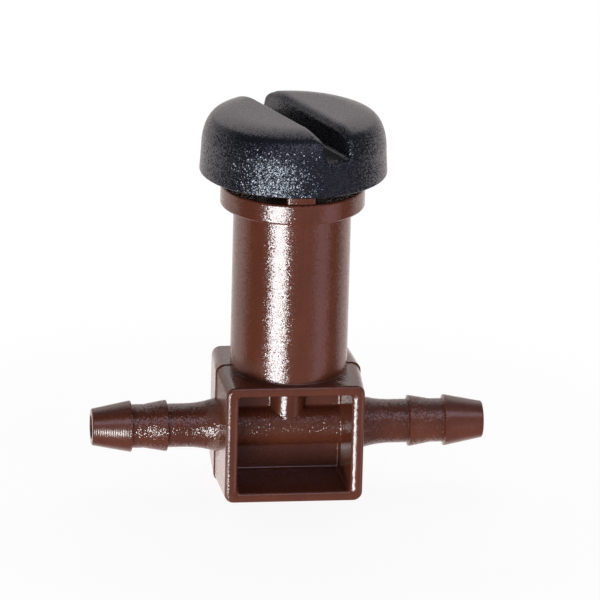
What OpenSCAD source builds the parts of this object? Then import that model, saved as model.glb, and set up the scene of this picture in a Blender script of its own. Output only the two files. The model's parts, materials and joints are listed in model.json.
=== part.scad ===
// In-line drip valve for small hose: two barbs on a cored box, a tower with a screw spindle,
// and a slotted cap that lifts the spindle's pin out of the water passage.
// Millimetres. +X runs along the barbs, +Z up the tower, and the box stands on Z = 0.

/* [Box] */
// Width of the box along the barbs, at the parting plane
box_width = 14.22; // [12:0.02:17]
// Depth of the box, from its front rim to its rear rim
box_depth = 12.69; // [12.4:0.01:16]
// Height of the box at the parting plane
box_height = 12.16; // [11:0.02:14]
// Draft of the side walls outside, in degrees
side_draft = 2.8; // [0.5:0.1:4]
// Draft of the top outside, in degrees
top_draft = 2.05; // [0.5:0.05:3]
// Radius of the box's four long corners
corner_r = 0.9; // [0.4:0.05:1.4]
// Rounding of the rims outside
rim_r = 0.32; // [0.1:0.01:0.38]
// Width of that rounding on the two side rims
rim_side = 0.48; // [0.1:0.01:0.6]
// Rounding of the rims at the mouth of each pocket
mouth_r = 0.35; // [0.1:0.01:0.4]
// Width of that rounding on the two side rims
mouth_side = 0.66; // [0.1:0.01:0.8]
// Step at the parting plane, where the rear half stands out
part_step = 0.07; // [0.02:0.01:0.15]
// Thickness of the side walls at the rims
side_wall = 1.2; // [0.8:0.05:1.8]
// Thickness of the top and the bottom at the rims
plate_wall = 1; // [0.7:0.05:1.5]
// Draft of the pockets at their sides, in degrees
pocket_side_draft = 4; // [1:0.1:9]
// Draft of the pockets at top and bottom, in degrees
pocket_plate_draft = 4.6; // [1:0.1:6]
// Radius of the pockets' upright corners
pocket_r = 0.35; // [0.2:0.05:0.6]
// Fillet at the foot of the pockets
pocket_fillet = 0.25; // [0.1:0.05:0.5]
// Thickness of the web between the two pockets
web_t = 1; // [0.6:0.05:1.6]

/* [Water passage] */
// Height of the passage above the foot
axis_z = 5.98; // [5:0.02:7]
// Diameter of the passage in the barbs
passage_d = 2.4; // [1.6:0.05:2.8]
// Diameter of the throat under the spindle's pin
throat_d = 2; // [1.4:0.05:2.3]
// Length of the throat
throat_len = 6; // [4:0.1:8]
// Length of the taper from the throat to the passage
throat_taper = 0.6; // [0.2:0.05:1.5]
// Outside diameter of the cross tube in the box
cross_tube_d = 4; // [3.6:0.05:4.6]
// Outside diameter of the upright boss in the box
boss_d = 3.55; // [3:0.05:4.2]
// Fillet of the cross tube and the boss on the web
web_fillet = 0.4; // [0.1:0.05:0.6]
// Fillet of the cross tube on the side walls
tube_fillet = 0.3; // [0.1:0.05:0.5]

/* [Hose barbs] */
// Diameter of the tip
tip_d = 3.67; // [3.2:0.01:4]
// Diameter of the two crests
crest_d = 5.03; // [4.6:0.01:5.6]
// Diameter of the necks
neck_d = 4.31; // [3.8:0.01:4.5]
// Length of the first cone
tip_cone = 3.66; // [2.5:0.01:5]
// Length of the second cone
second_cone = 1.99; // [1.2:0.01:3]
// Length of the round land on each crest
crest_land = 0.2; // [0.15:0.05:0.6]
// Length of the step behind each crest
crest_step = 0.13; // [0.1:0.01:0.6]
// Length of the neck between the crests
mid_neck = 1.2; // [0.6:0.05:2]
// Length of the neck next to the box
root_neck = 1.64; // [1:0.01:4]
// Length of the flare on the box wall
flare_len = 3.1; // [1:0.01:3.5]
// Radius of the hollow flare
flare_r = 9.8; // [6:0.1:14]
// Rounding of the tip
tip_r = 0.2; // [0.05:0.05:0.4]

/* [Tower] */
// Diameter of the tower
tower_d = 11.5; // [11.2:0.05:12.2]
// Height of the tower above the box
tower_h = 16.58; // [16:0.02:22]
// Fillet at the tower's foot
tower_fillet = 0.2; // [0.1:0.05:0.6]
// Bore of the seal chamber in the tower
chamber_d = 7.2; // [7:0.05:7.8]
// Room under the spindle's cone when the valve is shut
chamber_room = 0.4; // [0.2:0.05:0.8]

/* [Bonnet] */
// Diameter of the collar
collar_d = 14.12; // [12.6:0.02:14.6]
// Thickness of the collar
collar_t = 2.09; // [1.4:0.01:3]
// Rounding of the collar's edges
collar_r = 0.25; // [0.05:0.05:0.6]
// Diameter of the spigot that sits in the tower
spigot_d = 8.8; // [8.5:0.05:9.4]
// Length of the spigot
spigot_len = 5.3; // [4:0.05:6]
// Width of the stop lug on the collar
lug_w = 2.8; // [2:0.05:4]
// Height of the stop lug above the collar
lug_h = 1.07; // [0.6:0.01:1.3]
// Thickness of the stop lug towards the axis
lug_t = 1.5; // [1:0.05:2]
// Setback of the lug's face from the collar's rim
lug_setback = 0.2; // [0.05:0.05:0.6]
// Rounding of the lug's upright edges
lug_r = 0.25; // [0.1:0.05:0.4]

/* [Screw] */
// Rise of the knob in one turn
pitch = 1.5; // [1.3:0.05:1.8]
// Turns from the drawn position to shut
closing_turns = 1.25; // [1:0.05:1.5]
// Turns from the drawn position to fully open
opening_turns = 0.75; // [0.25:0.05:1]
// Outside diameter of the spindle's thread
thread_d = 5.8; // [5.4:0.05:6.2]

/* [Spindle] */
// Length of the land that carries the two seals
land_len = 5.6; // [5:0.05:6]
// Length of the cone under the land
land_cone = 1; // [0.5:0.05:1.5]
// Chamfer on the end of the pin
pin_chamfer = 0.25; // [0.1:0.05:0.5]
// Size of the hexagon that drives the spindle, across its corners
drive_d = 4.6; // [4:0.05:5.2]

/* [Seals] */
// Cord diameter of the two stem seals
stem_seal_d = 0.85; // [0.7:0.01:1]
// Cord diameter of the bonnet's seal
bonnet_seal_d = 0.7; // [0.55:0.01:0.8]
// Distance between the two stem seals
seal_pitch = 2.8; // [2.2:0.05:3.2]

/* [Knob] */
// Diameter of the knob at its rim
knob_d = 18.29; // [17:0.01:20]
// Gap between the collar and the knob's rim, as drawn
knob_gap = 1.32; // [1.1:0.02:2]
// Draft of the knob's side, in degrees
knob_draft = 3.1; // [0.5:0.1:5]
// Width of the oval that rounds the shoulder, towards the axis
shoulder_w = 1.6; // [0.8:0.05:3]
// Height of the oval that rounds the shoulder
shoulder_h = 3.2; // [1:0.05:3.6]
// Radius of the soft edge between the shoulder and the flat crown
crown_r = 6; // [2:0.1:9]
// Slope at which the shoulder passes into that edge, in degrees
crown_slope = 24; // [10:1:35]
// Rounding of the knob's rim
knob_rim_r = 0.15; // [0.05:0.05:0.4]
// Thickness of the skirt
skirt_t = 1.6; // [1.2:0.05:1.7]
// Diameter of the hub round the drive socket
hub_d = 7.2; // [6.4:0.05:8]
// Thickness of the crown between the hollow and the slot
crown_t = 1.47; // [1:0.01:2]
// Thickness of plastic between the drive socket and the slot
socket_roof = 0.65; // [0.4:0.05:0.9]
// Width of the slot
slot_w = 2.6; // [1.6:0.05:3]
// Depth of the slot
slot_depth = 2.8; // [1.5:0.05:3]
// Direction of the slot, in degrees from the front towards +X
slot_angle = 22.5; // [0:0.5:45]
// Rounding of the slot's lips
slot_lip_r = 0.9; // [0.1:0.05:1]
// Rounding where the slot leaves the knob's side
slot_exit_r = 0.5; // [0.1:0.05:0.6]
// Rounding at the slot's floor
slot_floor_r = 0.4; // [0.1:0.05:0.8]
// Width of the stop rib in the hollow
rib_w = 1.6; // [1:0.05:2.5]

/* [Clearances] */
// Running clearance of the thread, the land and the pin
run_clear = 0.05; // [0.02:0.01:0.08]
// Clearance round a seal
seal_clear = 0.03; // [0.02:0.01:0.06]
// Clearance of the spigot in the tower
spigot_clear = 0.02; // [0.01:0.01:0.05]
// Room left at the end of a travel
stop_clear = 0.15; // [0.1:0.01:0.2]
// Room left over the lug and under the hub when the valve is shut
shut_clear = 0.25; // [0.15:0.01:0.4]

/* [Hidden] */
$fn = 96;

// Overlap of pieces that are joined end to end
sliver = 0.01;
// How far a cutter runs past the face that it cuts
over = 0.5;
// Steps along a turned rounding
arc_steps = 16;
// Steps round each corner of a lofted shape
corner_steps = 8;
// Steps along the rounded rims and the fillets of a lofted shape
edge_steps = 6;
// Least corner radius of a lofted shape
least_r = 0.04;
// Most of a side wall that its outer and its inner rounding may take
rim_share = 0.4;
mouth_share = 0.55;

half_w = box_width / 2;
half_d = box_depth / 2;
side_fall = half_d * tan(side_draft);
top_fall = half_d * tan(top_draft);
rim_w = half_w - side_fall;
rim_top = box_height - top_fall;
roof_mid = rim_top - plate_wall / 2;

rim_side_w = min(rim_side, rim_share * side_wall);
mouth_side_w = min(mouth_side, mouth_share * side_wall);
pocket_run = half_d - web_t / 2;
mouth_w = rim_w - side_wall;
mouth_top = rim_top - plate_wall;
tube_r = cross_tube_d / 2;
// Inner face of the side walls, level with the front of the cross tube
tube_wall = mouth_w - (half_d - tube_r) * tan(pocket_side_draft);
// Depth that the flare's root is sunk in the drafted wall
flare_sink = side_wall / 2;
// Angle that the flare turns through, from the neck to its sunk root
flare_turn = asin((flare_len + flare_sink) / flare_r);

closing_travel = closing_turns * pitch;
opening_travel = opening_turns * pitch;

tower_r = tower_d / 2;
tower_top = box_height + tower_h;
collar_r_out = collar_d / 2;
collar_top = tower_top + collar_t;
lug_top = collar_top + lug_h;
spigot_foot = tower_top - spigot_len;
spigot_r = spigot_d / 2;
bonnet_bore_r = thread_d / 2 + run_clear;

chamber_r = chamber_d / 2;
land_r = chamber_r - run_clear;
land_top = spigot_foot - opening_travel - stop_clear;
land_foot = land_top - land_len;
cone_foot = land_foot - land_cone;
chamber_floor = cone_foot - closing_travel - chamber_room;
pin_r = throat_d / 2 - run_clear;
pin_end = axis_z - pin_r + closing_travel;

stem_seal_r = chamber_r - seal_clear - stem_seal_d / 2;
stem_groove_r = stem_seal_r - stem_seal_d / 2 - seal_clear;
stem_groove_w = stem_seal_d + 2 * seal_clear;
seal_mid = (land_top + land_foot) / 2;
upper_seal_z = seal_mid + seal_pitch / 2;
lower_seal_z = seal_mid - seal_pitch / 2;

bonnet_seal_r = spigot_r - seal_clear - bonnet_seal_d / 2;
bonnet_groove_r = bonnet_seal_r - bonnet_seal_d / 2 - seal_clear;
bonnet_groove_w = bonnet_seal_d + 2 * seal_clear;
bonnet_seal_z = (spigot_foot + tower_top) / 2;

knob_r = knob_d / 2;
skirt_r = knob_r - skirt_t;
knob_foot = collar_top + knob_gap;
hollow_top = lug_top + closing_travel + shut_clear;
slot_floor = hollow_top + crown_t;
knob_top = slot_floor + slot_depth;
// Angle on the shoulder's oval where the crown's soft edge takes over
shoulder_turn = atan(shoulder_h / shoulder_w / tan(crown_slope));
crown_edge_z = knob_top - crown_r * (1 - cos(crown_slope));
shoulder_z = crown_edge_z - shoulder_h * sin(shoulder_turn);
shoulder_r = knob_r - (shoulder_z - knob_foot) * tan(knob_draft);
shoulder_in = shoulder_r - shoulder_w;
crown_edge_r = shoulder_in + shoulder_w * cos(shoulder_turn);
crown_flat_r = crown_edge_r - crown_r * sin(crown_slope);
lip_w = slot_w / 2 + slot_lip_r;
// How far the slot's lips run to each side: level, and before the exit starts
lip_level = sqrt(crown_flat_r ^ 2 - lip_w ^ 2);
lip_run = sqrt(crown_edge_r ^ 2 - lip_w ^ 2) - 2 * slot_exit_r;
hub_foot = collar_top + closing_travel + shut_clear;
socket_top = slot_floor - socket_roof;
rib_foot = collar_top + closing_travel + stop_clear;

// The lug and the rib share one ring, and meet side to side when the valve is shut
lug_outer = collar_r_out - lug_setback;
lug_inner = lug_outer - lug_t;
lug_angle = -90;
stop_angle = asin((lug_w / 2 + stop_clear) / lug_inner) + asin(rib_w / 2 / lug_inner);
rib_angle = lug_angle + stop_angle + 360 * closing_turns;

body_brown = [0.37, 0.20, 0.14];
knob_black = [0.12, 0.12, 0.13];
stem_grey = [0.24, 0.24, 0.25];
seal_black = [0.06, 0.06, 0.06];

// Points of an oval arc from angle a to angle b
function oval_arc(centre, rx, ry, a, b, steps = arc_steps) = [
    for (i = [0 : steps])
        let (t = a + (b - a) * i / steps)
        centre + [rx * cos(t), ry * sin(t)]
];

// Points of a round arc
function arc(centre, r, a, b, steps = arc_steps) = oval_arc(centre, r, r, a, b, steps);

// Ring of a loft at y: a rectangle from x = -half to x = half, with round corners
function ring(y, half, low, high, r) = [
    for (corner = [[1, high - r, 0], [-1, high - r, 90], [-1, low + r, 180], [1, low + r, 270]])
        for (i = [0 : corner_steps])
            let (t = corner[2] + 90 * i / corner_steps)
            [corner[0] * (half - r) + r * cos(t), y, corner[1] + r * sin(t)]
];

// Solid through a list of rings, from the front one to the rear one
module loft(rings) {
    count = len(rings[0]);
    last = len(rings) - 1;
    walls = [
        for (i = [0 : last - 1], j = [0 : count - 1])
            let (a = i * count + j, b = i * count + (j + 1) % count)
            each [[a, b, b + count], [a, b + count, a + count]]
    ];
    front = [for (j = [count - 1 : -1 : 0]) j];
    rear = [for (j = [0 : count - 1]) last * count + j];
    polyhedron(points = [for (one = rings) each one], faces = concat([front], walls, [rear]));
}

// Front half of the box outside, run on to a given depth: drafted, with a round rim and a flat foot
module box_half(swell, depth) {
    loft(concat(
        [for (i = [0 : edge_steps])
            let (t = 90 * i / edge_steps, inset = rim_r * (1 - sin(t)))
            ring(
                -half_d + rim_r * (1 - cos(t)),
                rim_w + swell - rim_side_w * (1 - sin(t)),
                inset,
                rim_top + swell - inset,
                max(corner_r - inset, least_r)
            )],
        [ring(depth, half_w + swell, 0, box_height + swell, corner_r)]
    ));
}

// Whole box outside: the rear half stands out a little at the parting plane
module box_outside() {
    box_half(0, over);
    mirror([0, 1, 0]) box_half(part_step, 0);
}

// Ring of the pocket at a depth behind the rim, moved out from its drafted sides and plates
function pocket_ring(depth, side_out, plate_out) =
    let (side_in = depth * tan(pocket_side_draft), plate_in = depth * tan(pocket_plate_draft))
    ring(
        -half_d + depth,
        mouth_w - side_in + side_out,
        plate_wall + plate_in - plate_out,
        mouth_top - plate_in + plate_out,
        max(pocket_r + min(side_out, plate_out), least_r)
    );

// One pocket, cored from the front rim back to the web, with a round mouth and a filleted foot
module pocket() {
    loft(concat(
        [pocket_ring(-over, mouth_side_w, mouth_r)],
        [for (i = [0 : edge_steps])
            let (t = 90 * i / edge_steps, out = 1 - sin(t))
            pocket_ring(mouth_r * (1 - cos(t)), mouth_side_w * out, mouth_r * out)],
        [for (i = [0 : edge_steps])
            let (t = 90 * i / edge_steps, out = pocket_fillet * (cos(t) - 1))
            pocket_ring(pocket_run - pocket_fillet * (1 - sin(t)), out, out)]
    ));
}

// Half section of the fillet between the web and a tube that stands out of it, sunk a little in the tube
module web_fillet_section(r) {
    y = -web_t / 2 - web_fillet;
    x = sqrt((r + web_fillet - sliver) ^ 2 - y ^ 2);
    polygon(concat(
        [[0, 0], [x, 0]],
        arc([x, y], web_fillet, 90, 180 - atan(-y / x))
    ));
}

// Fillets on both sides of a tube, on both faces of the web, drawn upright
module web_fillets(r, low, high) {
    for (x = [0, 1], y = [0, 1])
        mirror([x, 0, 0])
            mirror([0, y, 0])
            translate([0, 0, low])
            linear_extrude(height = high - low)
            web_fillet_section(r);
}

// One barb, drawn upright from the box's middle to the tip
module barb_outside() {
    flare_top = half_w + flare_len;
    second_step = flare_top + root_neck;
    second_land = second_step + crest_step;
    second_crest = second_land + crest_land;
    first_neck = second_crest + second_cone;
    first_step = first_neck + mid_neck;
    first_land = first_step + crest_step;
    first_crest = first_land + crest_land;
    tip = first_crest + tip_cone;
    rotate_extrude()
        polygon(concat(
            [[0, 0], [tube_r, 0]],
            arc([tube_r + tube_fillet, tube_wall - tube_fillet], tube_fillet, 180, 90),
            arc([neck_d / 2 + flare_r, flare_top], flare_r, 180 + flare_turn, 180),
            [[neck_d / 2, second_step], [crest_d / 2, second_land], [crest_d / 2, second_crest]],
            [[neck_d / 2, first_neck], [neck_d / 2, first_step]],
            [[crest_d / 2, first_land], [crest_d / 2, first_crest]],
            arc([tip_d / 2 - tip_r, tip - tip_r], tip_r, 0, 90),
            [[0, tip]]
        ));
}

// One half of the water passage, drawn upright
module passage_half() {
    cylinder(d = throat_d, h = throat_len / 2 + sliver);
    translate([0, 0, throat_len / 2])
        cylinder(d1 = throat_d, d2 = passage_d, h = throat_taper);
    translate([0, 0, throat_len / 2 + throat_taper])
        cylinder(d = passage_d, h = box_width + flare_len + root_neck + tip_cone + second_cone + mid_neck);
}

// Lays an upright half along +X and mirrors it to -X, at the passage's height
module both_ways() {
    for (side = [0, 1])
        mirror([side, 0, 0])
            translate([0, 0, axis_z])
            rotate([0, 90, 0])
            children();
}

// Outside of the tower, with a hollow fillet at its foot
module tower_outside() {
    rotate_extrude()
        polygon(concat(
            [[0, roof_mid], [tower_r + tower_fillet, roof_mid]],
            arc([tower_r + tower_fillet, rim_top + tower_fillet], tower_fillet, 270, 180),
            [[tower_r, tower_top], [0, tower_top]]
        ));
}

// Bores of the tower: the pin's guide down through the throat, the seal chamber and the spigot's seat
module tower_bores() {
    throat_foot = axis_z - throat_d / 2;
    translate([0, 0, throat_foot]) cylinder(d = throat_d, h = tower_top - throat_foot);
    translate([0, 0, chamber_floor]) cylinder(r = chamber_r, h = tower_top - chamber_floor);
    translate([0, 0, spigot_foot - stop_clear])
        cylinder(r = spigot_r + spigot_clear, h = spigot_len + stop_clear + over);
}

// Moulded body: cored box, cross tube, barbs and tower
module valve_body() {
    color(body_brown)
        difference() {
            union() {
                difference() {
                    box_outside();
                    for (side = [0, 1])
                        mirror([0, side, 0]) pocket();
                }
                both_ways() {
                    barb_outside();
                    web_fillets(tube_r, 0, tube_wall + tube_fillet);
                }
                translate([0, 0, axis_z]) cylinder(d = boss_d, h = roof_mid - axis_z);
                web_fillets(boss_d / 2, axis_z, roof_mid);
                tower_outside();
            }
            both_ways() passage_half();
            tower_bores();
        }
}

// Plan of a stop, on the ring that the lug and the rib share
module stop_plan(angle, width) {
    rotate([0, 0, angle])
        intersection() {
            translate([0, -width / 2]) square([collar_d, width]);
            difference() {
                circle(lug_outer);
                circle(lug_inner);
            }
        }
}

// Collar and threaded spigot that close the tower, with the stop lug on top
module bonnet() {
    color(body_brown)
        difference() {
            union() {
                rotate_extrude()
                    polygon(concat(
                        [[0, spigot_foot], [spigot_r, spigot_foot], [spigot_r, tower_top]],
                        arc([collar_r_out - collar_r, tower_top + collar_r], collar_r, 270, 360),
                        arc([collar_r_out - collar_r, collar_top - collar_r], collar_r, 0, 90),
                        [[0, collar_top]]
                    ));
                translate([0, 0, collar_top - collar_t / 2])
                    linear_extrude(height = lug_h + collar_t / 2)
                    offset(r = lug_r)
                    offset(delta = -lug_r)
                    stop_plan(lug_angle, lug_w);
            }
            translate([0, 0, spigot_foot - over])
                cylinder(r = bonnet_bore_r, h = spigot_len + collar_t + 2 * over);
            translate([0, 0, bonnet_seal_z - bonnet_groove_w / 2])
                difference() {
                    cylinder(r = spigot_r + over, h = bonnet_groove_w);
                    cylinder(r = bonnet_groove_r, h = bonnet_groove_w);
                }
        }
}

// Round seal, centred at height z
module seal_ring(z, ring_r, cord_d) {
    color(seal_black)
        translate([0, 0, z])
        rotate_extrude()
        translate([ring_r, 0]) circle(d = cord_d);
}

// Seal between the bonnet's spigot and the tower
module bonnet_seal() {
    seal_ring(bonnet_seal_z, bonnet_seal_r, bonnet_seal_d);
}

// Upper of the two seals on the spindle
module upper_stem_seal() {
    seal_ring(upper_seal_z, stem_seal_r, stem_seal_d);
}

// Lower of the two seals on the spindle
module lower_stem_seal() {
    seal_ring(lower_seal_z, stem_seal_r, stem_seal_d);
}

// Screw spindle: pin, seal land, plain thread diameter and hexagon drive
module spindle() {
    thread_r = thread_d / 2;
    half_groove = stem_groove_w / 2;
    color(stem_grey) {
        rotate_extrude()
            polygon(concat(
                [[0, pin_end], [pin_r - pin_chamfer, pin_end], [pin_r, pin_end + pin_chamfer]],
                [[pin_r, cone_foot], [land_r, land_foot]],
                [for (z = [lower_seal_z, upper_seal_z], corner = [[0, -1], [1, -1], [1, 1], [0, 1]])
                    [corner[0] == 1 ? stem_groove_r : land_r, z + corner[1] * half_groove]],
                [[land_r, land_top], [thread_r, land_top], [thread_r, hub_foot], [0, hub_foot]]
            ));
        translate([0, 0, land_top])
            cylinder(d = drive_d, h = socket_top - run_clear - land_top, $fn = 6);
    }
}

// Outside of the knob: drafted side, oval shoulder, and a flat crown with a soft edge
module knob_outside() {
    rotate_extrude()
        polygon(concat(
            [[0, knob_foot]],
            arc([knob_r - knob_rim_r, knob_foot + knob_rim_r], knob_rim_r, 270, 360),
            oval_arc([shoulder_in, shoulder_z], shoulder_w, shoulder_h, 0, shoulder_turn),
            arc([crown_flat_r, knob_top - crown_r], crown_r, 90 - crown_slope, 90),
            [[0, knob_top]]
        ));
}

// Radius of the knob's side and shoulder at a height
function knob_reach(z) =
    z < shoulder_z ? shoulder_r + (shoulder_z - z) * tan(knob_draft)
    : shoulder_in + shoulder_w * sqrt(1 - ((z - shoulder_z) / shoulder_h) ^ 2);

// Height of the crown and its soft edge at a radius
function crown_height(r) =
    knob_top - crown_r + sqrt(crown_r ^ 2 - max(r - crown_flat_r, 0) ^ 2);

// Section of the slot, moved out from its walls: rounded floor, and rounded lips that end at a height
function slot_section(out, lip_top) =
    let (
        half = slot_w / 2 + out,
        lip = lip_w + out,
        lip_z = lip_top - slot_lip_r + sliver,
        floor_r = slot_floor_r + out,
        floor_z = slot_floor - out + floor_r
    )
    concat(
        arc([floor_r - half, floor_z], floor_r, 180, 270, corner_steps),
        arc([half - floor_r, floor_z], floor_r, 270, 360, corner_steps),
        arc([lip, lip_z], slot_lip_r, 180, 90, corner_steps),
        [[lip, knob_top + over], [-lip, knob_top + over]],
        arc([-lip, lip_z], slot_lip_r, 90, 0, corner_steps)
    );

// Ring across the slot at y, with lips that follow the crown
function slot_ring(y) = [
    for (point = slot_section(0, crown_height(norm([lip_w, y]))))
        [point[0], y, point[1]]
];

// Rings along the lips of one side, from the level stretch outwards
function lip_rings(side) = [
    for (i = [0 : edge_steps])
        slot_ring(side * (lip_level + (lip_run - lip_level) * i / edge_steps))
];

// Ring of the slot's exit at a depth behind the knob's side, on the front (-1) or the rear (1)
function exit_ring(side, depth, out) =
    let (lip = lip_w + out, lip_y = sqrt(crown_edge_r ^ 2 - lip ^ 2) - depth)
    [
        for (point = slot_section(out, crown_height(norm([lip, lip_y]))))
            let (reach = knob_reach(min(point[1], crown_edge_z)))
            [point[0], side * (sqrt(reach ^ 2 - point[0] ^ 2) - depth), point[1]]
    ];

// Rings of one exit, rounded from the knob's side inwards
function slot_exit(side) = [
    for (i = [0 : edge_steps])
        let (t = 90 * i / edge_steps)
        exit_ring(side, slot_exit_r * (1 - cos(t)) - sliver, slot_exit_r * (1 - sin(t)))
];

// End of the slot's cutter, clear of the knob
function slot_end(side) = [
    for (point = slot_section(slot_exit_r, crown_edge_z))
        [point[0], side * knob_d, point[1]]
];

// A list of rings from last to first
function turned(rings) = [for (i = [len(rings) - 1 : -1 : 0]) rings[i]];

// Slot across the crown, with rounded lips and exits
module slot() {
    loft(concat(
        [slot_end(-1)],
        slot_exit(-1),
        turned(lip_rings(-1)),
        lip_rings(1),
        turned(slot_exit(1)),
        [slot_end(1)]
    ));
}

// Hollow cap that turns the spindle, with a slot for a coin or a screwdriver
module knob() {
    color(knob_black)
        difference() {
            union() {
                difference() {
                    knob_outside();
                    translate([0, 0, knob_foot - over])
                        cylinder(r = skirt_r, h = hollow_top - knob_foot + over);
                }
                translate([0, 0, hub_foot]) cylinder(d = hub_d, h = slot_floor - hub_foot);
                translate([0, 0, rib_foot])
                    linear_extrude(height = slot_floor - rib_foot)
                    stop_plan(rib_angle, rib_w);
            }
            translate([0, 0, hub_foot - over])
                cylinder(d = drive_d, h = socket_top - hub_foot + over, $fn = 6);
            rotate([0, 0, slot_angle]) slot();
        }
}

valve_body();
bonnet();
bonnet_seal();
spindle();
upper_stem_seal();
lower_stem_seal();
knob();
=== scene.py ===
"""In-line drip valve: finishes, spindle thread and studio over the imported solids."""

from __future__ import annotations

import json
import logging
import math
from collections.abc import Iterator
from contextlib import contextmanager
from dataclasses import dataclass, field
from enum import Enum
from typing import Any

import bpy
from mathutils import Matrix, Vector

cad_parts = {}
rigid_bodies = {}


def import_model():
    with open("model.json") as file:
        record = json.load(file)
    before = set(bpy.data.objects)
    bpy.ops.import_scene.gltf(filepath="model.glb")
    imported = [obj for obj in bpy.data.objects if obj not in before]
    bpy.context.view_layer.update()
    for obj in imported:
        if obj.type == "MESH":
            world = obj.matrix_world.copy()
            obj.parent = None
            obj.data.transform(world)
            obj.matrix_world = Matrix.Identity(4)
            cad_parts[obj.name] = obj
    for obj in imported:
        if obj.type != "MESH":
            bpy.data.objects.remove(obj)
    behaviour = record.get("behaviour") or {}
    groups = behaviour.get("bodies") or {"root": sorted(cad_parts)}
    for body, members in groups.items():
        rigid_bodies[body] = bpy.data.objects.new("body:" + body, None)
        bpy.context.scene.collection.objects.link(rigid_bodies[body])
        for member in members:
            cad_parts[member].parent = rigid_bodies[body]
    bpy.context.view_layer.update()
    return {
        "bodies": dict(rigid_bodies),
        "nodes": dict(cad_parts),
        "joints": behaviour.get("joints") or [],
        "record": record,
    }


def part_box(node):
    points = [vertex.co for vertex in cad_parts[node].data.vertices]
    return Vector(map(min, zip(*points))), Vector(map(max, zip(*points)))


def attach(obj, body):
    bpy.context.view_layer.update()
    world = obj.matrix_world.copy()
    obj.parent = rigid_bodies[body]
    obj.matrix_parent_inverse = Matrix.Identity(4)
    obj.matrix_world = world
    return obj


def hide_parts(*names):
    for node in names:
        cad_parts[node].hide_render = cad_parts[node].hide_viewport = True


LOG = logging.getLogger("drip_valve")
MM = 0.001
# Width of the photograph's frame in pixels
FRAME_PX = 600
# Distance from a pit's middle to its rim, in widths of a pit
PIT_RIM = 0.6

Colour = tuple[float, float, float, float]
Source = Any


class Slot(Enum):
    """Material slots of the record."""

    BROWN = "brown_plastic"
    KNOB = "knob_plastic"
    STEM = "stem_plastic"
    SEAL = "seal_rubber"


class Body(Enum):
    """Bodies that new pieces ride on."""

    BODY = "body"
    ADJUSTER = "adjuster"


class Mix(Enum):
    """What a Mix node mixes: its data type, the numbers of its two inputs, and that of its output."""

    NUMBER = ("FLOAT", 2, 3, 0)
    VECTOR = ("VECTOR", 4, 5, 1)
    COLOUR = ("RGBA", 6, 7, 2)


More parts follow.
